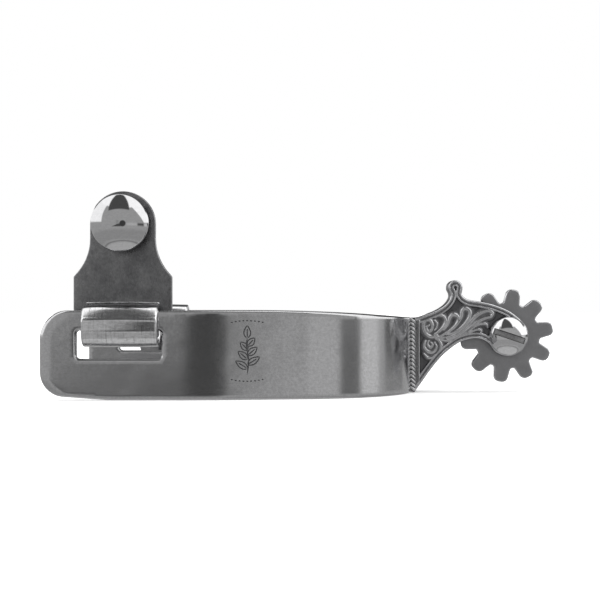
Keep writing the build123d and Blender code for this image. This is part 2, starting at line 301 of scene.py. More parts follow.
def slab(loops, edge, spacing, front, back, creases=(), back_edge=None, steps=5):
    """A closed plate with rounded edges. Its outer loop runs anticlockwise and its holes clockwise; front and
    back give the height of its two faces at each point. Its front follows the creases exactly."""
    back_edge = edge if back_edge is None else back_edge
    verts, faces, rims = [], [], []

    def ring(loop, inward, rounding, k, face, sign):
        angle = pi / 2 * k / steps
        flat = loop + inward * rounding * (1 - cos(angle))
        height = face(flat[:, 0], flat[:, 1]) - sign * rounding * (1 - sin(angle))
        verts.extend(np.column_stack([flat, np.broadcast_to(height, len(flat))]).tolist())
        return len(verts) - len(flat)

    for loop in loops:
        inward, count = left_normals(loop), len(loop)
        tops = [ring(loop, inward, edge, k, front, 1) for k in range(steps + 1)]
        lows = [ring(loop, inward, back_edge, k, back, -1) for k in range(steps + 1)]
        for a, b in [*zip(tops, tops[1:]), (lows[0], tops[0]), *zip(lows[1:], lows)]:
            faces += joined(a, b, count)
        rims.append((tops[-1], lows[-1], count))

    for which, (face, lines) in enumerate(((front, creases), (back, ()))):
        borders = [np.array(verts[r[which] : r[which] + r[2]])[:, :2] for r in rims]
        index = [i for r in rims for i in range(r[which], r[which] + r[2])]
        edges, points = [], np.concatenate(borders)
        for border in borders:
            edges += loop_edges(len(border), len(edges))
        for line in lines:
            edges += [(len(points) + i, len(points) + i + 1) for i in range(len(line) - 1)]
            points = np.concatenate([points, line])
        points = np.concatenate([points, grid_in(borders, points, spacing, 0.55)])
        extra = points[len(index) :]
        height = np.broadcast_to(face(extra[:, 0], extra[:, 1]), len(extra))
        index += range(len(verts), len(verts) + len(extra))
        verts.extend(np.column_stack([extra, height]).tolist())
        turn = 1 if which == 0 else -1
        faces += [tuple(index[i] for i in f)[::turn] for f in triangles(points, edges, borders)]
    return np.array(verts), faces


def piece_from(name, verts, faces, material, sharp=None):
    """A mesh object in metres from millimetre points, smooth but for edges sharper than the given angle."""
    mesh = bpy.data.meshes.new(name)
    mesh.from_pydata((np.asarray(verts) * MM).tolist(), [], faces)
    shaped = bmesh.new()
    shaped.from_mesh(mesh)
    bmesh.ops.recalc_face_normals(shaped, faces=shaped.faces)
    shaped.to_mesh(mesh)
    shaped.free()
    mesh.shade_smooth()
    if sharp:
        mesh.set_sharp_from_angle(angle=radians(sharp))
    mesh.materials.append(material)
    return put(name, mesh)


def line_object(name, points):
    """A poly line through millimetre points, for a strip to follow."""
    curve = bpy.data.curves.new(name, "CURVE")
    curve.dimensions = "3D"
    spline = curve.splines.new("POLY")
    spline.points.add(len(points) - 1)
    for point, place in zip(spline.points, points):
        point.co = (*(np.array(place) * MM), 1)
    return put(name, curve)


def new_tree(name, sizes):
    """A geometry tree with the named inputs, each given as its kind and its first value."""
    tree = bpy.data.node_groups.new(name, "GeometryNodeTree")
    tree.interface.new_socket("Geometry", in_out="INPUT", socket_type="NodeSocketGeometry")
    for size, (kind, value) in sizes.items():
        socket = tree.interface.new_socket(size, in_out="INPUT", socket_type=f"NodeSocket{kind}")
        if value is not None:
            socket.default_value = value
    tree.interface.new_socket("Geometry", in_out="OUTPUT", socket_type="NodeSocketGeometry")
    return tree, node(tree, "NodeGroupInput").outputs


def end_tree(tree, geometry, material):
    """Ends a tree with real geometry in its material."""
    real = node(tree, "GeometryNodeRealizeInstances", geometry)
    painted = node(tree, "GeometryNodeSetMaterial", Geometry=real, Material=material)
    node(tree, "NodeGroupOutput", painted)


def settled(name, source, tree, sizes):
    """Runs a tree on an object and keeps what it makes as a plain mesh."""
    modifier = source.modifiers.new("shape", "NODES")
    modifier.node_group = tree
    for item in tree.interface.items_tree:
        if item.in_out == "INPUT" and item.name in sizes:
            modifier[item.identifier] = sizes[item.name]
    bpy.context.view_layer.update()
    graph = bpy.context.evaluated_depsgraph_get()
    mesh = bpy.data.meshes.new_from_object(source.evaluated_get(graph), depsgraph=graph)
    mesh.shade_smooth()
    bpy.data.objects.remove(source)
    return put(name, mesh)


# Lays a flat strip along a path: its X runs along the path, its Y lies across, and its Z stands out from it.
follow, given = new_tree("follow_path", {
    "Path": ("Object", None),
    "Across": ("Vector", (0.0, 0.0, 1.0)),
    "Material": ("Material", None),
})
flat = node(follow, "SeparateXYZ", node(follow, "GeometryNodeInputPosition"))
path = node(follow, "GeometryNodeObjectInfo", Object=given["Path"], transform_space="RELATIVE")
sample = node(
    follow, "GeometryNodeSampleCurve", Curves=path.outputs["Geometry"], Length=flat.outputs["X"], mode="LENGTH")
outward = node(follow, "VectorMath", sample.outputs["Tangent"], given["Across"], operation="CROSS_PRODUCT")
unit = node(follow, "VectorMath", outward, operation="NORMALIZE")
lift = node(follow, "VectorMath", unit, flat.outputs["Z"], operation="SCALE")
aside = node(follow, "VectorMath", given["Across"], flat.outputs["Y"], operation="SCALE")
shifted = node(follow, "VectorMath", lift, aside, operation="ADD")
placed = node(follow, "VectorMath", shifted, sample.outputs["Position"], operation="ADD")
bent = node(follow, "GeometryNodeSetPosition", Geometry=given["Geometry"], Position=placed)
end_tree(follow, bent.outputs[0], given["Material"])


def band_path():
    """The band's mid-line in plan, from the near arm's end round to the far arm's, and half its length."""
    arm, bend, flank = BEND_X - ARM_END_X, BEND_R * SPLAY, hypot(HEEL_END_X - FLANK_X, 0) / cos(SPLAY)
    half_heel = HEEL_R * (pi / 2 - SPLAY)
    half = arm + bend + flank + half_heel
    bend_y = ARM_Y - BEND_R

    def place(s):
        side, s = (-1, s) if s <= half else (1, 2 * half - s)
        if s < arm:
            return (ARM_END_X + s, side * ARM_Y, 0)
        if s < arm + bend:
            a = (s - arm) / BEND_R
            return (BEND_X + BEND_R * sin(a), side * (bend_y + BEND_R * cos(a)), 0)
        if s < arm + bend + flank:
            t = s - arm - bend
            return (FLANK_X + t * cos(SPLAY), side * (FLANK_Y - t * sin(SPLAY)), 0)
        a = (half - s) / HEEL_R
        return (-HEEL_R + HEEL_R * cos(a), side * HEEL_R * sin(a), 0)

    count = 1200
    return [place(2 * half * k / count) for k in range(count + 1)], half


band_line, HALF_BAND = band_path()
band_follow = line_object("band_path", band_line)
band_x = np.array([p[0] for p in band_line])
band_s = np.linspace(0, 2 * HALF_BAND, len(band_line))


def bare_steel(name):
    """Starts a bare steel: its material, node tree and shader, and the place on the piece in millimetres."""
    steel = bpy.data.materials.new(name)
    steel.use_nodes = True
    tree = steel.node_tree
    skin = tree.nodes["Principled BSDF"]
    plug(skin, Metallic=1.0)
    spot = node(tree, "TexCoord").outputs["Object"]
    return steel, tree, skin, node(tree, "VectorMath", spot, 1 / MM, operation="SCALE")


def polished_steel(name, tint, roughness, wave, mottle=0.08):
    """Buffed stainless: mirror-like, with faint waves, hairline scratches and a few dull patches."""
    steel, tree, skin, spot = bare_steel(name)
    waves = node(tree, "TexNoise", Vector=spot, Scale=0.055, Detail=2.0, Roughness=0.45)
    patches = node(tree, "TexNoise", Vector=spot, Scale=1.3, Detail=8.0, Roughness=0.75)
    combed = node(tree, "Mapping", Vector=spot, Scale=(0.25, 0.25, 7.0))
    hair = node(tree, "TexNoise", Vector=combed, Scale=1.0, Detail=6.0, Roughness=0.7)
    dull = node(tree, "MapRange", patches, 0.35, 0.7, roughness * 0.8, roughness * 1.35)
    worn = node(tree, "MapRange", hair, 0.3, 0.75, 0.93, 1.04)
    cloud = node(tree, "MapRange", patches, 0.35, 0.65, 1.0 + mottle / 2, 1.0 - mottle)
    both = node(tree, "Math", worn, cloud, operation="MULTIPLY")
    shade = node(tree, "Mix", 1.0, linear(tint), both, data_type="RGBA", blend_type="MULTIPLY")
    bump = node(tree, "Bump", Strength=1.0, Distance=wave * MM, Height=waves)
    fine = node(tree, "Bump", Strength=0.35, Distance=0.004 * MM, Height=hair, Normal=bump)
    plug(skin, Base_Color=shade, Roughness=dull, Normal=fine)
    return steel


band_steel = polished_steel("buffed_stainless_strip", "#d0d0d1", 0.15, 0.14, 0.12)


def band_top(x):
    return BAND_HEIGHT - HEEL_TOP_DROP * (np.clip(x - TOP_SLOPE_START_X, 0, None) / TOP_SLOPE_START_X) ** 2


def band_outline():
    """The strip's edge before bending: length along the band against height."""
    length = 2 * HALF_BAND
    foot_rise, foot_run = 1.4, 20.0
    corners = [
        (0.02, foot_rise, 7.0), (foot_run, 0, 40), (length - foot_run, 0, 40), (length - 0.02, foot_rise, 7.0),
        (length - 0.02, BAND_HEIGHT, 8.0), (0.02, BAND_HEIGHT, 8.0),
    ]
    outline = cornered(corners, 1.0)
    top = outline[:, 1] > BAND_HEIGHT - 0.01
    outline[top, 1] = band_top(np.interp(outline[top, 0], band_s, band_x))
    return outline


def band_slot(centre):
    half, top = SLOT_LENGTH / 2, BAND_HEIGHT - BAR_HEIGHT
    left, right = centre - half, centre + half
    corners = [(left, SLOT_BOTTOM), (left, top), (right, top), (right, SLOT_BOTTOM)]
    return cornered([(*corner, 1.0) for corner in corners], 0.7)


def band_face(x, y):
    """The outer face's height: flat, but rubbed down towards each arm's rounded end."""
    end, corner = np.minimum(x, 2 * HALF_BAND - x), 8.0
    middle = np.clip(y, corner, BAND_HEIGHT - corner)
    edge = corner - np.hypot(np.clip(corner - end, 0, None), y - middle)
    return BAND_THICK / 2 - 1.05 * np.clip(1 - edge / 3.2, 0, 1) ** 2 * np.clip((corner - end) / 5, 0, 1)


slot_at = SLOT_CENTRE_X - ARM_END_X
loops = [band_outline(), band_slot(slot_at), band_slot(2 * HALF_BAND - slot_at)]
strip = piece_from("heel_band_strip", *slab(
    loops, EDGE_R, 0.9, band_face, lambda x, y: -BAND_THICK / 2), band_steel)
heel_band = settled("heel_band_bent", strip, follow, {
    "Path": band_follow, "Across": (0.0, 0.0, 1.0), "Material": band_steel})
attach(heel_band, "frame")
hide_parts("heel_band")

# ==== Maker's mark on the near arm ====================================
# A small sprig between two rows of dots, struck lightly into the near arm and blacked. It follows the band's
# face; the blacked lines stand a few hundredths of a millimetre out of the metal where the strike raised it.
MARK_X = -47.5
MARK_Z = 13.6
LINE_R = 0.17


def smooth_line(points, step=0.15):
    """A Catmull-Rom curve through points of any width (x, y, ...), divided evenly."""
    p = np.array(points, float)
    p = np.concatenate([[2 * p[0] - p[1]], p, [2 * p[-1] - p[-2]]])
    out = []
    for a, b, c, d in zip(p, p[1:], p[2:], p[3:]):
        pieces = max(2, int(np.linalg.norm((c - b)[:2]) / step))
        for t in np.arange(pieces) / pieces:
            bend, twist = 2 * a - 5 * b + 4 * c - d, 3 * b - a - 3 * c + d
            out.append(0.5 * (2 * b + (c - a) * t + bend * t**2 + twist * t**3))
    return np.array(out + [p[-2]])


def wire(line, radius, verts, faces, height, sides=8):
    """Adds a thin round wire lying on the strip's face along a flat line, its ends drawn to a point."""
    first, count = len(verts), len(line)
    run = np.gradient(line, axis=0)
    run /= np.linalg.norm(run, axis=1)[:, None] + 1e-12
    for k, ((x, y), (dx, dy)) in enumerate(zip(line, run)):
        r = radius * min(1, 0.15 + sin(pi * k / (count - 1)) * 3)
        for i in range(sides):
            a = 2 * pi * i / sides
            verts.append((x - dy * r * cos(a), y + dx * r * cos(a), height + r * 0.5 * sin(a)))
    for k in range(count - 1):
        for i in range(sides):
            j = (i + 1) % sides
            a, b = first + k * sides, first + (k + 1) * sides
            faces.append((a + i, a + j, b + j, b + i))
    faces.append(tuple(first + i for i in reversed(range(sides))))
    faces.append(tuple(first + (count - 1) * sides + i for i in range(sides)))


def leaf(base, angle, length, width):
    """A pointed leaf's outline and its vein, from its base."""
    turn = np.array([[cos(angle), sin(angle)], [-sin(angle), cos(angle)]])
    t = np.linspace(0, 1, 24)
    side = width / 2 * np.sin(pi * t**0.8)
    return [np.column_stack([length * t, s * side]) @ turn + base for s in (1, -1)] + [
        np.column_stack([length * t[2:18], 0 * t[2:18]]) @ turn + base]


lines = [smooth_line([(0, -5.6), (0.35, -2), (-0.2, 1.5), (0, 3.6)])]
lines += leaf(np.array([0, 3.4]), radians(90), 3.2, 1.7)
for k, rise in enumerate((-3.6, -1.3, 1.0)):
    for hand in (1, -1):
        size = 3.6 - 0.45 * k
        lines += leaf(np.array([0.1, rise + 0.5 * hand]), radians(90 - hand * (58 - 8 * k)), size, 1.6)
lines = [line * 1.15 for line in lines]
for row in (-8.3, 8.9):
    for n in range(-4, 5):
        bow = row - 0.03 * n * n * copysign(1, row)
        lines.append(np.column_stack([n * 1.1 + np.linspace(-0.3, 0.3, 7), np.full(7, bow)]))
mark_s = float(np.interp(MARK_X, band_x[: len(band_x) // 2], band_s[: len(band_x) // 2]))
verts, faces = [], []
for line in lines:
    wire(line + (mark_s, MARK_Z), LINE_R, verts, faces, BAND_THICK / 2)


def struck_black():
    """The strike's blacking: a dull dark oxide, worn to grey in specks."""
    steel, tree, skin, spot = bare_steel("blacked_strike")
    grain = node(tree, "TexNoise", Vector=spot, Scale=2.5, Detail=3.0)
    tone = node(tree, "Mix", grain, linear("#2e2e2f"), linear("#5c5c5e"), data_type="RGBA")
    plug(skin, Base_Color=tone, Metallic=0.6, Roughness=0.5)
    return steel


black = struck_black()
mark = piece_from("arm_mark_flat", verts, faces, black)
mark = settled("arm_mark", mark, follow, {"Path": band_follow, "Across": (0.0, 0.0, 1.0), "Material": black})
bpy.data.objects.remove(band_follow)
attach(mark, "frame")

# ==== Strap hangers ===================================================
# Each is stamped from 1.6 mm stainless sheet: a bell-shaped plate whose tongue is rolled over the bar above
# the slot, down its front, through the slot and up behind. It swings freely, and is duller than the band.
SHEET = 1.6
LOOP_CLEAR_R = 3.2
LOOP_SLACK = 2.77
LOOP_WIDTH = 21.4
HANGER_X = -83.0
PLATE_WIDTH = 28.2
HEAD_R = 9.39
HEAD_V = 27.55
SHOULDER_V = 12.6
FOOT_V = 2.6
FAR_REST = 119.0
BAR_Z = BAND_HEIGHT - BAR_HEIGHT / 2
LOOP_MID_R = LOOP_CLEAR_R + SHEET / 2
PLATE_FRONT = -LOOP_CLEAR_R
PLATE_BACK = -LOOP_CLEAR_R - SHEET


def sheet_steel():
    """Rolled stainless sheet: a satin face with scratches along the plate and a soft uneven dullness."""
    steel, tree, skin, spot = bare_steel("satin_stainless_sheet")
    cloud = node(tree, "TexNoise", Vector=spot, Scale=0.12, Detail=4.0, Roughness=0.6)
    speck = node(tree, "TexNoise", Vector=spot, Scale=1.6, Detail=6.0, Roughness=0.75)
    combed = node(tree, "Mapping", Vector=spot, Scale=(5.0, 5.0, 0.35))
    hair = node(tree, "TexNoise", Vector=combed, Scale=1.0, Detail=7.0, Roughness=0.75)
    tone = node(tree, "MapRange", cloud, 0.3, 0.7)
    base = node(tree, "Mix", tone, linear("#7c7c7e"), linear("#a9a9aa"), data_type="RGBA")
    flecks = node(tree, "MapRange", speck, 0.35, 0.65, 0.74, 1.14)
    shade = node(tree, "Mix", 1.0, base, flecks, data_type="RGBA", blend_type="MULTIPLY")
    rough = node(tree, "MapRange", hair, 0.3, 0.7, 0.22, 0.36)
    bump = node(tree, "Bump", Strength=0.6, Distance=0.008 * MM, Height=hair)
    pits = node(tree, "Bump", Strength=0.4, Distance=0.01 * MM, Height=speck, Normal=bump)
    plug(skin, Base_Color=shade, Roughness=rough, Normal=pits)
    return steel


def rubbed_steel():
    """The rolled tongue, rubbed bright by hand: fine scratches along it spread its highlights sideways."""
    steel, tree, skin, spot = bare_steel("rubbed_stainless_tongue")
    combed = node(tree, "Mapping", Vector=spot, Scale=(2.6, 0.14, 0.14))
    hair = node(tree, "TexNoise", Vector=combed, Scale=1.0, Detail=6.0, Roughness=0.8)
    dashes = node(tree, "Mapping", Vector=spot, Scale=(0.5, 1.2, 1.6))
    rub = node(tree, "TexNoise", Vector=dashes, Scale=1.0, Detail=4.0, Roughness=0.6)
    lines = node(tree, "MapRange", hair, 0.3, 0.46, 0.4, 1.0)
    marks = node(tree, "MapRange", rub, 0.3, 0.6, 0.78, 1.05)
    worn = node(tree, "Math", lines, marks, operation="MULTIPLY")
    shade = node(tree, "Mix", 1.0, linear("#e8e8e9"), worn, data_type="RGBA", blend_type="MULTIPLY")
    across = node(tree, "SeparateXYZ", spot)
    from_middle = node(tree, "Math", across.outputs["X"], HANGER_X, operation="SUBTRACT")
    square = node(tree, "Math", from_middle, 2.0, operation="POWER")
    pillow = node(tree, "Math", square, -0.0058, operation="MULTIPLY")
    crease = node(tree, "MapRange", across.outputs["Z"], BAR_Z + 0.1, BAR_Z + 1.0, 0.23, 0.0)
    shape = node(tree, "Math", pillow, crease)
    rubbed = node(tree, "Bump", Strength=1.0, Distance=1.0 * MM, Height=shape)
    bump = node(tree, "Bump", Strength=0.5, Distance=0.012 * MM, Height=hair, Normal=rubbed)
    around = node(tree, "Tangent", direction_type="RADIAL", axis="X")
    plug(skin, Base_Color=shade, Normal=bump, Tangent=around, Roughness=0.16, Anisotropic=0.8,
         Anisotropic_Rotation=0.25)
    return steel


hanger_steel = sheet_steel()
loop_steel = rubbed_steel()


def placed_matrix(side):
    """Puts a piece made in the hanger's own frame on its arm; the far one is at the end of its slack."""
    if side == "near":
        return Matrix.Translation(Vector((HANGER_X, -ARM_Y, BAR_Z)) * MM) @ Matrix.Rotation(pi, 4, "Z")
    swing = Matrix.Rotation(-radians(FAR_REST), 4, "X")
    slack = Matrix.Translation((0, 0, LOOP_SLACK * MM))
    return Matrix.Translation(Vector((HANGER_X, ARM_Y, BAR_Z)) * MM) @ swing @ slack


def put_on_arms(made, stem, node_stem):
    """Places one copy of a piece on each arm; it stands for the CAD node of the same name."""
    for side in ("near", "far"):
        piece = put(f"{stem}_{side}", made.data.copy())
        piece.data.transform(placed_matrix(side))
        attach(piece, f"hanger_{side}")
        if node_stem:
            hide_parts(f"{node_stem}_{side}")
    bpy.data.objects.remove(made)


def plate_loop():
    half, step = PLATE_WIDTH / 2, PLATE_WIDTH / 2 - HEAD_R
    flare_r = 15.0
    rise = sqrt(flare_r**2 - (flare_r - step) ** 2)
    waist = SHOULDER_V + rise
    right = [(half, FOOT_V, 0.5), (half, SHOULDER_V - 0.1, 0.5)]
    for k in range(1, 9):
        a = asin(rise / flare_r) * (1 - k / 8)
        right.append((HEAD_R + flare_r * (1 - cos(a)), waist - flare_r * sin(a), 0))
    head = [(HEAD_R * cos(a), HEAD_V + HEAD_R * sin(a), 0) for a in np.linspace(0, pi, 60)]
    left = [(-x, y, r) for x, y, r in reversed(right)]
    return cornered(right + head + left, 0.5)


verts, faces = slab([plate_loop()], 0.4, 1.0, lambda x, y: PLATE_FRONT, lambda x, y: PLATE_BACK)
plate = piece_from("hanger_plate_flat", verts[:, [0, 2, 1]], faces, hanger_steel)


def loop_line():
    """The tongue's mid-line in the hanger's frame, from the plate over the bar and back up behind it."""
    crook, shoulder = 1.6, 4.4
    corner = LOOP_MID_R - shoulder
    line = [(-LOOP_MID_R, LOOP_MID_R + crook + 1.2), (-LOOP_MID_R, LOOP_MID_R + crook + 0.6)]
    for a in np.linspace(pi, 1.5 * pi, 14):
        line.append((-LOOP_MID_R + crook + crook * cos(a), LOOP_MID_R + crook + crook * sin(a)))
    for a in np.linspace(pi / 2, 0, 20):
        line.append((corner + shoulder * cos(a), corner + shoulder * sin(a)))
    for a in np.linspace(0, -pi, 32):
        line.append((LOOP_MID_R * cos(a), -LOOP_SLACK + LOOP_MID_R * sin(a)))
    line.append((-LOOP_MID_R, FOOT_V - 0.1))
    return [(0, u, v) for u, v in line]


path = loop_line()
length = sum(dist(a, b) for a, b in zip(path, path[1:]))
half = LOOP_WIDTH / 2
flat_tongue = cornered([(0, -half, 0.8), (length, -half, 1.0), (length, half, 1.0), (0, half, 0.8)], 0.5)


def half_sheet(x, y):
    """Half the tongue's thickness, drawn in where it leaves the plate."""
    return SHEET / 2 - 0.12 * np.clip((2.0 - x) / 0.8, 0, 1)


def tongue_face(x, y):
    """The outer face, rubbed thinner towards its sides and drawn thinner where it rolls over the bar."""
    drawn = np.interp(x, [3.1, 9.7], [0, 0.22]) * np.clip(1 - (np.clip(x - 9.7, 0, None) / 1.7) ** 2, 0, 1)
    crown = np.interp(x, [4.0, 6.0, 11.0, 12.5], [0.15, 0.34, 0.34, 0.12])
    return half_sheet(x, y) - crown * np.abs(y / half) ** 2.3 - drawn


bends = [np.column_stack([np.full(50, at), np.linspace(-9.9, 9.9, 50)]) for at in np.arange(5.1, 12.1, 0.43)]
tongue = piece_from("hanger_tongue_flat", *slab(
    [flat_tongue], 0.45, 0.4, tongue_face, lambda x, y: -half_sheet(x, y), bends), loop_steel)
tongue_path = line_object("hanger_tongue_path", path)
tongue = settled("hanger_tongue_rolled", tongue, follow, {
    "Path": tongue_path, "Across": (-1.0, 0.0, 0.0), "Material": loop_steel})
bpy.data.objects.remove(tongue_path)
put_on_arms(plate, "hanger_plate", "hanger_plate")
put_on_arms(tongue, "hanger_loop", None)

# ==== Strap buttons ===================================================
# A domed cap pressed from thin stainless and rolled over the head of a turned stud. The stud's neck stands off
# the plate to leave room for the strap, and its tenon is peened over a washer behind the plate.
BUTTON_R = 8.15
BUTTON_DOME = 3.49
CAP_SHEET = 0.8
CAP_FOOT = 4.9
NECK_R = 3.0
TENON_R = 1.9
WASHER_R = 4.5
WASHER_THICK = 0.8
PEEN_R = 3.2
PEEN_HEIGHT = 1.1


def lathe(profile, sides):
    """A turned shape from (radius, outward) points, as points round the outward Y axis and faces."""
    verts, faces, rings = [], [], []
    for r, y in profile:
        if r < 1e-6:
            rings.append([len(verts)])
            verts.append((0, y, 0))
        else:
            rings.append(list(range(len(verts), len(verts) + sides)))
            verts += [(r * cos(a), y, r * sin(a)) for a in np.arange(sides) * 2 * pi / sides]
    for a, b in zip(rings, rings[1:]):
        for i in range(sides):
            j = (i + 1) % sides
            quad = [a[i % len(a)], a[j % len(a)], b[j % len(b)], b[i % len(b)]]
            faces.append(tuple(dict.fromkeys(quad)))
    return np.array(verts), faces


def bow(cr, cy, r, a0, a1, count):
    """Points on an arc of a turned profile."""
    return [(cr + r * cos(radians(a)), cy + r * sin(radians(a))) for a in np.linspace(a0, a1, count)]


def turned_pair(stem, profile, sides, steel, sharp):
    """Turns a piece and puts one on each hanger, round the middle of the plate's head."""
    verts, faces = lathe(profile, sides)
    verts[:, 2] += HEAD_V
    put_on_arms(piece_from(f"{stem}_made", verts, faces, steel, sharp), stem, stem)


button_steel = polished_steel("mirror_stainless_cap", "#d4d4d5", 0.055, 0.012)
turned_steel = polished_steel("turned_stainless_stud", "#a9a9ab", 0.24, 0.01)
foot = PLATE_FRONT + CAP_FOOT
spring = foot + 1.7
ball = (BUTTON_R**2 + BUTTON_DOME**2) / (2 * BUTTON_DOME)
centre = spring + BUTTON_DOME - ball
edge_angle = degrees(acos(BUTTON_R / ball))
cap = [(6.3, foot), (BUTTON_R - 0.5, foot)] + bow(BUTTON_R - 0.5, foot + 0.5, 0.5, -90, 0, 6)
cap += [(BUTTON_R, spring - 0.25)] + bow(0, centre, ball, edge_angle + 1.5, 90, 40)
inner_r, inner_ball = BUTTON_R - CAP_SHEET, ball - CAP_SHEET
inner_edge = degrees(acos(inner_r / inner_ball))
cap[-1] = (0, centre + ball)
cap += [(0, centre + inner_ball)] + bow(0, centre, inner_ball, 88, inner_edge, 16)
cap += [(inner_r, foot + 0.6), (6.3, foot + 0.6), (6.3, foot)]
turned_pair("button_cap", cap, 96, button_steel, 40)

disc, disc_r = foot + 0.6, inner_r - 0.05
back = PLATE_BACK - WASHER_THICK
stud = [(0, disc + 0.7), (disc_r, disc + 0.7), (disc_r, disc), (NECK_R + 0.5, disc)]
stud += bow(NECK_R + 0.5, disc - 0.5, 0.5, 90, 180, 6)
stud += [(NECK_R, PLATE_FRONT + 0.15), (NECK_R - 0.15, PLATE_FRONT), (TENON_R, PLATE_FRONT), (TENON_R, back)]
stud += [(PEEN_R, back), (PEEN_R, back - 0.3)]
stud += [(PEEN_R * cos(a), back - 0.3 - (PEEN_HEIGHT - 0.3) * sin(a)) for a in np.linspace(0.15, pi / 2, 10)]
stud[-1] = (0, back - PEEN_HEIGHT)
turned_pair("button_stud", stud, 64, turned_steel, 35)

ring = [(TENON_R + 0.05, PLATE_BACK), (WASHER_R - 0.15, PLATE_BACK), (WASHER_R, PLATE_BACK - 0.15)]
ring += [(WASHER_R, back + 0.2), (WASHER_R - 0.2, back), (TENON_R + 0.05, back), (TENON_R + 0.05, PLATE_BACK)]
turned_pair("stud_washer", ring, 64, turned_steel, 25)

# ==== Shank ===========================================================
# A lost-wax casting in stainless, brazed to the band: raised rims, a chap-guard knob, scrolls and leaves in
# relief on each cheek, and a fork for the rowel. The sunk ground is left dark and the high parts are rubbed.
AXLE_X = 31.3
AXLE_Z = 17.45
HALF_SHANK = 5.2
FORK_HALF = 1.9
FORK_R = 15.4
BOSS_R = 6.2
GROUND = 0.85  # depth of the sunk ground below the rims
BASE_X = 0.5

top_edge = smooth_line([
    (BASE_X, 22.9), (3.9, 23.35), (6.6, 24.3), (9.6, 25.6), (12.0, 27.3), (13.3, 29.2), (13.35, 30.6),
    (12.75, 31.9), (12.95, 33.5), (14.0, 34.5), (14.9, 34.65), (15.9, 34.45), (17.0, 33.3), (17.1, 31.8),
    (16.9, 30.5), (17.6, 29.4), (19.3, 28.6), (22.7, 28.05), (27.0, 27.05), (31.5, 25.2), (34.6, 22.95)], 0.3)
boss_sweep = np.linspace(radians(36), radians(-118), 60)
boss_edge = [(AXLE_X + BOSS_R * cos(a), AXLE_Z + BOSS_R * sin(a)) for a in boss_sweep]
belly_edge = smooth_line([
    boss_edge[-1], (26.9, 12.9), (25.4, 15.0), (23.2, 16.4), (20.6, 16.7), (17.2, 15.9), (14.2, 14.2),
    (10.6, 11.1), (7.2, 7.0), (4.5, 3.2), (2.4, 0.35)], 0.3)
rim_edge = np.concatenate([top_edge, boss_edge, belly_edge[1:]])[::-1]


def evenly(loop, step):
    """The same closed outline with its points evenly spaced."""
    closed = np.concatenate([loop, loop[:1]])
    gaps = np.linalg.norm(np.diff(closed, axis=0), axis=1)
    run = np.concatenate([[0], np.cumsum(gaps)])
    even = np.linspace(0, run[-1], int(run[-1] / step) + 1)[:-1]
    return np.column_stack([np.interp(even, run, closed[:, i]) for i in (0, 1)])


clear = rim_edge[(rim_edge[:, 0] > 1.7) & (rim_edge[:, 1] > 1.2)]
seat = [(BASE_X, 22.85, 0.8), (BASE_X, 0.05, 0.8), (2.2, 0.05, 0.8)]
outline = evenly(cornered([(px, pz, 0) for px, pz in clear] + seat), 0.3)
area = 0.5 * np.sum(outline[:, 0] * np.roll(outline[:, 1], -1) - np.roll(outline[:, 0], -1) * outline[:, 1])
if area < 0:
    outline = outline[::-1]

RELIEF = [  # ridge half-width at its middle, then the ridge's line
    (0.46, [(9.2, 17.6), (7.4, 17.2), (5.7, 18.3), (4.95, 20.4), (5.6, 22.3), (7.0, 22.3),
            (7.8, 20.7), (7.4, 19.1), (6.3, 19.0), (6.0, 20.2), (6.7, 20.7)]),
    (0.40, [(8.6, 17.9), (10.2, 19.1), (11.5, 20.6), (11.9, 22.2), (11.2, 23.5), (9.9, 23.9),
            (8.8, 23.3)]),
    (0.30, [(8.5, 22.3), (9.2, 21.3), (9.1, 19.9), (8.5, 19.2)]),
    (0.42, [(11.4, 19.5), (12.6, 21.1), (13.2, 23.0), (14.3, 24.1), (15.6, 23.5), (15.9, 22.2),
            (15.1, 20.7), (13.7, 19.4), (12.0, 18.3), (10.2, 17.4)]),
    (0.44, [(15.7, 21.3), (16.7, 23.2), (17.0, 25.1), (18.1, 26.0), (19.3, 25.1), (19.3, 23.2),
            (18.0, 21.2), (16.2, 19.5), (14.3, 18.5), (12.2, 18.0)]),
    (0.55, [(9.4, 16.9), (12.0, 16.9), (14.4, 17.6), (16.6, 18.9), (18.7, 20.9), (20.7, 23.0),
            (22.9, 24.6), (25.1, 25.3), (26.4, 24.6), (26.1, 23.5)]),
    (0.50, [(25.9, 23.4), (24.0, 22.9), (21.9, 21.9), (19.8, 20.3), (17.6, 18.5), (15.2, 17.0),
            (12.6, 16.2), (10.6, 16.3)]),
    (0.36, [(18.4, 18.6), (20.5, 20.2), (22.6, 21.2), (24.3, 21.2), (24.9, 20.2)]),
    (0.34, [(17.4, 17.7), (19.6, 18.8), (21.9, 19.5), (23.0, 18.9), (22.6, 18.0)]),
    (0.42, [(8.6, 16.9), (9.8, 16.0), (10.5, 14.3), (9.9, 12.3), (8.3, 11.0), (6.4, 10.8), (5.2, 12.0)]),
    (0.40, [(5.6, 15.8), (5.3, 14.0), (6.5, 12.6), (8.3, 12.6), (9.1, 14.0), (8.5, 15.4)]),
    (0.36, [(6.6, 15.9), (6.4, 14.6), (7.3, 13.9), (7.9, 14.7), (7.3, 15.5)]),
    (0.36, [(9.4, 17.1), (11.5, 16.6), (13.0, 15.9), (13.1, 14.9), (12.3, 14.3)]),
]
strokes = []
for width, points in RELIEF:
    line = smooth_line(points, 0.12)
    taper = 0.62 + 0.38 * np.sin(pi * np.linspace(0.12, 1, len(line)))
    strokes.append((line, 1.7 * width * taper))


def hump(t):
    """A half-round ridge's height, from 1 at its middle to 0 at its foot."""
    return np.sqrt(np.clip(1 - t**2, 0, None))


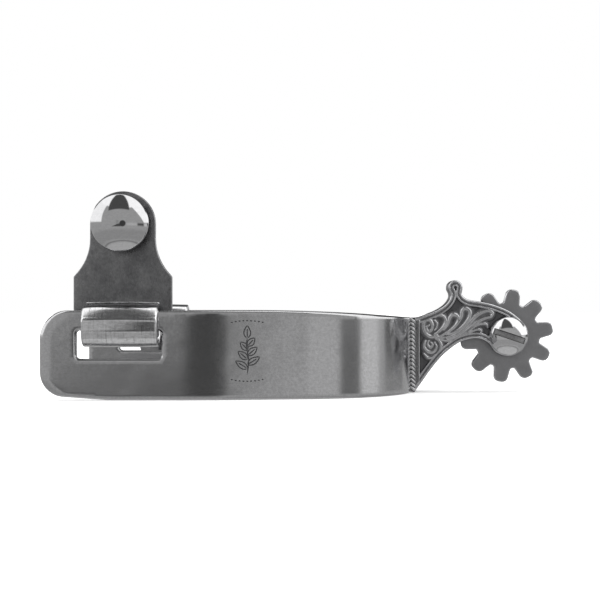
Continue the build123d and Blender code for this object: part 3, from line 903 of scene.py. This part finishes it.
def relief(x, z):
    """How far the cheek's surface lies below its rims."""
    spots = np.column_stack([x, z])
    from_edge = nearest(spots, rim_edge)
    raised = GROUND * np.clip((0.95 - from_edge) / 0.25, 0, 1)
    raised = np.maximum(raised, (GROUND - 0.12) * hump((from_edge - 1.5) / 0.45))
    raised = np.maximum(raised, (GROUND - 0.45) * (from_edge < 1.5))
    raised = np.maximum(raised, (GROUND - 0.10) * np.clip((4.15 - x) / 0.35, 0, 1))
    raised = np.maximum(raised, GROUND * np.clip((6.2 - np.hypot(x - AXLE_X, z - AXLE_Z)) / 0.3, 0, 1))
    room = np.clip((from_edge - 0.9) / 0.5, 0, 1)
    for line, widths in strokes:
        for start in range(0, len(line), 60):
            some = slice(start, start + 60)
            gaps = np.sqrt(((spots[:, None, :] - line[None, some]) ** 2).sum(2)) / widths[None, some]
            gap = gaps.min(1)
            raised = np.maximum(raised, room * (GROUND - 0.08) * hump(np.clip(gap, 0, 1)))
            raised = np.maximum(raised, room * GROUND * 0.5 * hump(np.clip(gap / 2.0, 0, 1)))
    return GROUND - raised


def shank_shape():
    """The casting: two relief cheeks, the rounded edges between them, and the fork cut out for the rowel."""
    edge, steps = 0.55, 4
    inward, count = left_normals(outline), len(outline)
    border = outline + inward * edge
    grid = grid_in([border], border, 0.17, 0.6)
    depth = relief(grid[:, 0], grid[:, 1])
    filling = triangles(np.concatenate([border, grid]), loop_edges(count), [border])
    verts, faces, sunk, mids, rows = [], [], {}, {}, {}
    for sign in (-1, 1):
        rings = []
        for k in range(steps + 1):
            a = pi / 2 * k / steps
            flat = outline + inward * edge * (1 - cos(a))
            rings.append(len(verts))
            verts += [(px, sign * (HALF_SHANK - edge * (1 - sin(a))), pz) for px, pz in flat]
        for a, b in zip(rings, rings[1:]):
            faces += joined(a, b, count)
        index = [*range(rings[-1], rings[-1] + count), *range(len(verts), len(verts) + len(grid))]
        verts += [(px, sign * (HALF_SHANK - d), pz) for (px, pz), d in zip(grid, depth)]
        faces += [tuple(index[i] for i in f) for f in filling]
        sunk[sign] = rings[0]
    for sign in (-1, 1):
        mids[sign] = len(verts)
        verts += [(px, sign * FORK_HALF, pz) for px, pz in outline]
    fork = np.hypot(outline[:, 0] - AXLE_X, outline[:, 1] - AXLE_Z) < FORK_R
    for i in range(count):
        j = (i + 1) % count
        faces += [(sunk[sign] + i, sunk[sign] + j, mids[sign] + j, mids[sign] + i) for sign in (-1, 1)]
        if not (fork[i] and fork[j]):
            faces.append((mids[-1] + i, mids[-1] + j, mids[1] + j, mids[1] + i))
    run = [i for i in range(count) if fork[i]]
    broken = run[-1] - run[0] + 1 > len(run)
    split = next(k for k in range(len(run)) if run[k] - run[k - 1] > 1) if broken else 0
    run = run[split:] + run[:split]
    a0, a1 = (atan2(z - AXLE_Z, x - AXLE_X) % (2 * pi) for x, z in outline[[run[-1], run[0]]])
    floor = [(AXLE_X + FORK_R * cos(a), AXLE_Z + FORK_R * sin(a)) for a in np.linspace(a0, a1, 24)[1:-1]]
    for sign in (-1, 1):
        inner = list(range(len(verts), len(verts) + len(floor)))
        verts += [(px, sign * FORK_HALF, pz) for px, pz in floor]
        rows[sign] = [mids[sign] + run[-1], *inner, mids[sign] + run[0]]
        cheek = [mids[sign] + i for i in run] + inner
        flat = np.array([Vector((verts[i][0], verts[i][2])) for i in cheek])
        faces += [tuple(cheek[i] for i in f) for f in triangles(flat, loop_edges(len(flat)), [flat])]
    for k in range(len(rows[1]) - 1):
        faces.append((rows[-1][k], rows[-1][k + 1], rows[1][k + 1], rows[1][k]))
    return verts, faces


def cast_steel():
    """Cast stainless, antiqued: the ground keeps a dark oxide and the high parts are rubbed bright."""
    steel, tree, skin, spot = bare_steel("antiqued_cast_stainless")
    high = node(tree, "Attribute", attribute_name="height").outputs["Fac"]
    grain = node(tree, "TexNoise", Vector=spot, Scale=2.2, Detail=6.0, Roughness=0.7)
    patch = node(tree, "TexNoise", Vector=spot, Scale=0.5, Detail=3.0)
    uneven = node(tree, "Math", grain, 0.30, -0.15, operation="MULTIPLY_ADD")
    level = node(tree, "Math", high, uneven, operation="ADD")
    rubbed = node(tree, "MapRange", level, 0.25, 0.95, interpolation_type="SMOOTHSTEP")
    tone = node(tree, "Mix", rubbed, linear("#737375"), linear("#e0e0e2"), data_type="RGBA")
    cloud = node(tree, "MapRange", patch, 0.3, 0.7, 0.85, 1.08)
    shade = node(tree, "Mix", 1.0, tone, cloud, data_type="RGBA", blend_type="MULTIPLY")
    rough = node(tree, "MapRange", rubbed, 0.0, 1.0, 0.5, 0.16)
    bump = node(tree, "Bump", Strength=0.6, Distance=0.04 * MM, Height=grain)
    plug(skin, Base_Color=shade, Roughness=rough, Normal=bump)
    return steel


shank_steel = cast_steel()
verts, faces = shank_shape()
shank = piece_from("shank_casting", verts, faces, shank_steel, 50)
height = shank.data.attributes.new("height", "FLOAT", "POINT")
sunk = (HALF_SHANK - np.abs(np.array(verts)[:, 1])) / GROUND
sunk = np.where(np.abs(np.array(verts)[:, 1]) < HALF_SHANK - GROUND - 0.01, 0.6, sunk)
height.data.foreach_set("value", (1 - sunk).astype(np.float32))
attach(shank, "frame")
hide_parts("shank")

# ==== Rope trim =======================================================
# A three-strand twist of stainless wire brazed into the corner between band and shank, one down each side. The
# strands catch the light as a row of small slanting beads, dark in between.
ROPE_X = 1.45
ROPE_Y = 5.65
ROPE_FOOT = 0.55
ROPE_TOP = 22.85
STRAND_R = 0.50
LAY_R = 0.62
PITCH = 3.7
STRANDS = 3


def turned_copies(tree, shape, count, seat, axis, sweep, start=0.0):
    """Copies of a shape on one seat, turned evenly round an axis through the whole sweep."""
    seats = node(tree, "GeometryNodePoints", Count=count, Position=seat)
    step = node(tree, "Math", sweep, count, operation="DIVIDE")
    turn = node(tree, "Math", node(tree, "GeometryNodeInputIndex"), step, start, operation="MULTIPLY_ADD")
    spin = node(tree, "CombineXYZ", **{axis: turn})
    laid = node(tree, "GeometryNodeInstanceOnPoints", Points=seats, Instance=shape, Rotation=spin)
    return node(tree, "GeometryNodeRealizeInstances", laid)


rope, given = new_tree("laid_strands", {
    "Height": ("Float", (ROPE_TOP - ROPE_FOOT) * MM),
    "Pitch": ("Float", PITCH * MM),
    "Lay radius": ("Float", LAY_R * MM),
    "Strand radius": ("Float", STRAND_R * MM),
    "Strands": ("Int", STRANDS),
    "Lumps": ("Float", 0.35 * MM),
    "Foot": ("Vector", (0.0, 0.0, 0.0)),
    "Material": ("Material", None),
})
turns = node(rope, "Math", given["Height"], given["Pitch"], operation="DIVIDE")
helix = node(
    rope, "GeometryNodeCurveSpiral", Resolution=26, Rotations=turns, Start_Radius=given["Lay radius"],
    End_Radius=given["Lay radius"], Height=given["Height"], Reverse=False)
section = node(rope, "GeometryNodeCurvePrimitiveCircle", Resolution=12, Radius=given["Strand radius"])
strand = node(
    rope, "GeometryNodeCurveToMesh", Curve=helix, Profile_Curve=section.outputs["Curve"], Fill_Caps=True)
solid = turned_copies(rope, strand, given["Strands"], given["Foot"], "Z", 2 * pi)
spot = node(rope, "GeometryNodeInputPosition")
lumps = node(rope, "TexNoise", Vector=spot, Scale=1100.0, Detail=2.0)
level = node(rope, "VectorMath", lumps.outputs["Color"], (0.5, 0.5, 0.5), operation="SUBTRACT")
nudge = node(rope, "VectorMath", level, given["Lumps"], operation="SCALE")
rough = node(rope, "GeometryNodeSetPosition", Geometry=solid, Offset=nudge)
end_tree(rope, rough.outputs[0], given["Material"])


def wire_steel():
    """Bright drawn wire, painted darker as shade where the strands meet, which is near the twist's own axis."""
    steel, tree, skin, spot = bare_steel("twisted_stainless_wire")
    both = node(tree, "VectorMath", spot, operation="ABSOLUTE")
    off = node(tree, "VectorMath", both, (ROPE_X, ROPE_Y, 0), operation="SUBTRACT")
    level = node(tree, "VectorMath", off, (1, 1, 0), operation="MULTIPLY")
    radius = node(tree, "VectorMath", level, operation="LENGTH")
    grain = node(tree, "TexNoise", Vector=spot, Scale=1.8, Detail=5.0, Roughness=0.7)
    uneven = node(tree, "Math", grain, 0.5, radius.outputs["Value"], operation="MULTIPLY_ADD")
    # painted shade: the colour darkens towards the twist's axis, where the strands meet, with a random grain
    # mixed in
    worn = node(tree, "MapRange", uneven, 1.0, 1.35)
    tone = node(tree, "Mix", worn, linear("#3c3c3e"), linear("#dededf"), data_type="RGBA")
    bump = node(tree, "Bump", Strength=0.7, Distance=0.05 * MM, Height=grain)
    plug(skin, Base_Color=tone, Normal=bump, Roughness=0.2)
    return steel


rope_steel = wire_steel()
for side, sign in (("near", -1), ("far", 1)):
    seed = put("rope_seed", bpy.data.meshes.new("rope_seed"))
    foot_at = Vector((ROPE_X, sign * ROPE_Y, ROPE_FOOT)) * MM
    trim = settled(f"rope_trim_twist_{side}", seed, rope, {"Foot": foot_at, "Material": rope_steel})
    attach(trim, "frame")
    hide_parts(f"rope_trim_{side}")

# ==== Rowel ===========================================================
# A ten-point star stamped from 3 mm stainless, its points rounded and its edges tumbled smooth, so it won't
# cut. It runs loose on the pin's barrel. The faces are left satin.
ROWEL_R = 14.5
ROOT_R = 10.3
ROWEL_THICK = 3.0
TEETH = 10
ROWEL_PHASE = 9.6
BORE_R = 2.6
ROWEL_EDGE = 0.55


def tooth_outline():
    """One tooth from valley to valley, as points either side of the X axis."""
    pitch, tip = 2 * pi / TEETH, ROWEL_R + 0.02
    star = []
    for k in range(TEETH):
        a = pitch * k
        for r, across, corner in (
                (ROOT_R, -2.55, 0.75), (tip, -1.98, 1.8), (tip, 1.98, 1.8), (ROOT_R, 2.55, 0.75)):
            along = sqrt(r * r - across * across) if r < 12 else r
            star.append((along * cos(a) - across * sin(a), along * sin(a) + across * cos(a), corner))
    whole = evenly(cornered(star, 0.25), 0.16)
    angle = np.arctan2(whole[:, 1], whole[:, 0])
    radius = np.hypot(whole[:, 0], whole[:, 1])
    order = np.argsort(angle)
    cut = np.linspace(-pitch / 2, pitch / 2, 49)
    folded = np.interp(np.abs(cut), angle[order], radius[order])
    return np.column_stack([folded * np.cos(cut), folded * np.sin(cut)])


def tooth_sector():
    """A tenth of the rowel as quads: round the bore wall, out over a face, round the point and back."""
    edge_line = tooth_outline()
    run = np.gradient(edge_line, axis=0)
    run[0] = (sin(pi / TEETH), cos(pi / TEETH))
    run[-1] = (-sin(pi / TEETH), cos(pi / TEETH))
    run /= np.linalg.norm(run, axis=1)[:, None]
    inward = np.column_stack([-run[:, 1], run[:, 0]])
    bore = edge_line / np.linalg.norm(edge_line, axis=1)[:, None] * BORE_R
    bore_edge = bore * (BORE_R + 0.25) / BORE_R
    half = ROWEL_THICK / 2
    rows = []
    for sign in (1, -1):
        side = [(bore, half - 0.25), (bore_edge, half)]
        inner = edge_line + inward * ROWEL_EDGE
        side += [(bore_edge + (inner - bore_edge) * t, half) for t in (0.25, 0.5, 0.75, 0.9)]
        for k in range(7):
            a = pi / 2 * (1 - k / 6)
            side.append((edge_line + inward * ROWEL_EDGE * (1 - cos(a)), half - ROWEL_EDGE * (1 - sin(a))))
        side = [(flat, sign * y) for flat, y in side]
        rows += side if sign == 1 else side[::-1]
    verts, faces, count = [], [], len(edge_line)
    for flat, y in rows:
        verts += [(px, y, pz) for px, pz in flat]
    for k in range(len(rows)):
        a, b = k * count, (k + 1) % len(rows) * count
        faces += [(a + i, b + i, b + i + 1, a + i + 1) for i in range(count - 1)]
    return verts, faces


star_tree, given = new_tree("ring_of_teeth", {
    "Teeth": ("Int", TEETH),
    "Phase": ("Float", 0.0),
    "Axle": ("Vector", (0.0, 0.0, 0.0)),
    "Material": ("Material", None),
})
whole = turned_copies(
    star_tree, given["Geometry"], given["Teeth"], given["Axle"], "Y", -2 * pi, given["Phase"])
welded = node(star_tree, "GeometryNodeMergeByDistance", Geometry=whole, Distance=0.002 * MM)
end_tree(star_tree, welded.outputs[0], given["Material"])


def satin_steel():
    """Stamped stainless, tumbled: an even satin grey with a fine grain, lighter in colour and smoother on its
    rounded edges.
    """
    steel, tree, skin, spot = bare_steel("tumbled_stainless")
    grain = node(tree, "TexNoise", Vector=spot, Scale=3.0, Detail=6.0, Roughness=0.7)
    cloud = node(tree, "TexNoise", Vector=spot, Scale=0.3, Detail=3.0)
    tone = node(tree, "Mix", cloud, linear("#a9a9ab"), linear("#c2c2c4"), data_type="RGBA")
    flecks = node(tree, "MapRange", grain, 0.3, 0.7, 0.9, 1.05)
    shade = node(tree, "Mix", 1.0, tone, flecks, data_type="RGBA", blend_type="MULTIPLY")
    bump = node(tree, "Bump", Strength=0.5, Distance=0.012 * MM, Height=grain)
    parts = node(tree, "SeparateXYZ", spot)
    depth = node(tree, "Math", parts.outputs["Y"], operation="ABSOLUTE")
    rough = node(tree, "MapRange", depth, ROWEL_THICK / 2 - 0.12, ROWEL_THICK / 2 - 0.02, 0.14, 0.36)
    facing = node(tree, "MapRange", depth, ROWEL_THICK / 2 - 0.3, ROWEL_THICK / 2 - 0.05)
    # lighter colour on the rounded edges and sides, away from the two flat faces
    worn = node(tree, "Mix", facing, linear("#e4e4e6"), shade, data_type="RGBA")
    plug(skin, Normal=bump, Base_Color=worn, Roughness=rough)
    return steel


rowel_steel = satin_steel()
sector = piece_from("rowel_tooth", *tooth_sector(), rowel_steel)
rowel = settled("rowel_star", sector, star_tree, {
    "Phase": -radians(ROWEL_PHASE), "Axle": Vector((AXLE_X, 0, AXLE_Z)) * MM, "Material": rowel_steel})
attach(rowel, "rowel")
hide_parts("rowel")

# ==== Rowel pin =======================================================
# A two-part pin: a barrel from the far side and a screw from the near side, each with a high domed head
# slotted for a screwdriver. The domes are polished; the slots are milled and left grey, with painted shade on
# their walls.
PIN_HEAD_R = 5.95
PIN_DOME = 3.3
PIN_RIM = 0.5
DRIVE_WIDTH = 1.5
DRIVE_DEPTH = 2.0
DRIVE_TILT = radians(18.4)
BARREL_R = 2.5
SCREW_R = 1.5

pin_steel = polished_steel("polished_screw_steel", "#e2e2e3", 0.075, 0.012)
slot_steel = polished_steel("milled_screw_slot", "#c4c4c5", 0.5, 0.02, 0.2)
# painted shade: the slot walls get a dark grey that stands for the shade inside the slot
wall_steel = polished_steel("painted_shade_slot_wall", "#4c4c4e", 0.5, 0.02, 0.2)


def domed_head():
    """The slotted head, flat side down, with its slot along X."""
    ball = (PIN_HEAD_R**2 + PIN_DOME**2) / (2 * PIN_DOME)
    floor = PIN_RIM + PIN_DOME - DRIVE_DEPTH
    lip, half = 0.2, DRIVE_WIDTH / 2

    def dome(x, y):
        high = PIN_RIM + PIN_DOME - ball + np.sqrt(np.clip(ball**2 - x**2 - y**2, 0, None))
        wall = np.clip((np.abs(y) - half) / lip, 0, 1)
        return np.where(high > floor, floor + (high - floor) * wall, high)

    rim = [(PIN_HEAD_R * cos(a), PIN_HEAD_R * sin(a)) for a in np.arange(120) * pi / 60]
    run = np.linspace(-5.2, 5.2, 60)
    creases = [np.column_stack([run, np.full(60, y)]) for y in (-half - lip, -half, half, half + lip)]
    return slab([np.array(rim)], 0.25, 0.3, dome, lambda x, y: 0.0, creases, back_edge=0.1, steps=4)


head_verts, head_faces = domed_head()
shafts = {"barrel": (1, BARREL_R, -HALF_SHANK + 0.2), "screw": (-1, SCREW_R, -3.2)}
for part, (sign, shaft_r, shaft_end) in shafts.items():
    tilt = -DRIVE_TILT if sign < 0 else DRIVE_TILT
    x, y, rise = head_verts.T
    turned = np.column_stack([
        x * cos(tilt) - y * sin(tilt), sign * (rise + HALF_SHANK), x * sin(tilt) + y * cos(tilt)])
    profile = [(0, shaft_end), (shaft_r - 0.2, shaft_end), (shaft_r, shaft_end + 0.2), (shaft_r, HALF_SHANK)]
    shaft = lathe([(r, sign * out) for r, out in [*profile, (0, HALF_SHANK)]], 48)
    floor = PIN_RIM + PIN_DOME - DRIVE_DEPTH
    low = (rise < floor + 0.01) & (np.abs(y) < DRIVE_WIDTH / 2 + 0.01) & (rise > floor - 0.01)
    # slot floor faces take the milled grey; slot wall faces take the painted shade
    finish_and_shade = [all(low[i] for i in f) or 2 * any(low[i] for i in f) for f in head_faces]
    verts = np.concatenate([turned, shaft[0]]) + (AXLE_X, 0, AXLE_Z)
    faces = head_faces + [tuple(i + len(turned) for i in f) for f in shaft[1]]
    pin = piece_from(f"rowel_pin_{part}_made", verts, faces, pin_steel, 30)
    pin.data.materials.append(slot_steel)
    pin.data.materials.append(wall_steel)
    for face, kind in zip(pin.data.polygons, finish_and_shade):
        face.material_index = int(kind)
    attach(pin, "frame")
    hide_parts(f"rowel_pin_{part}")
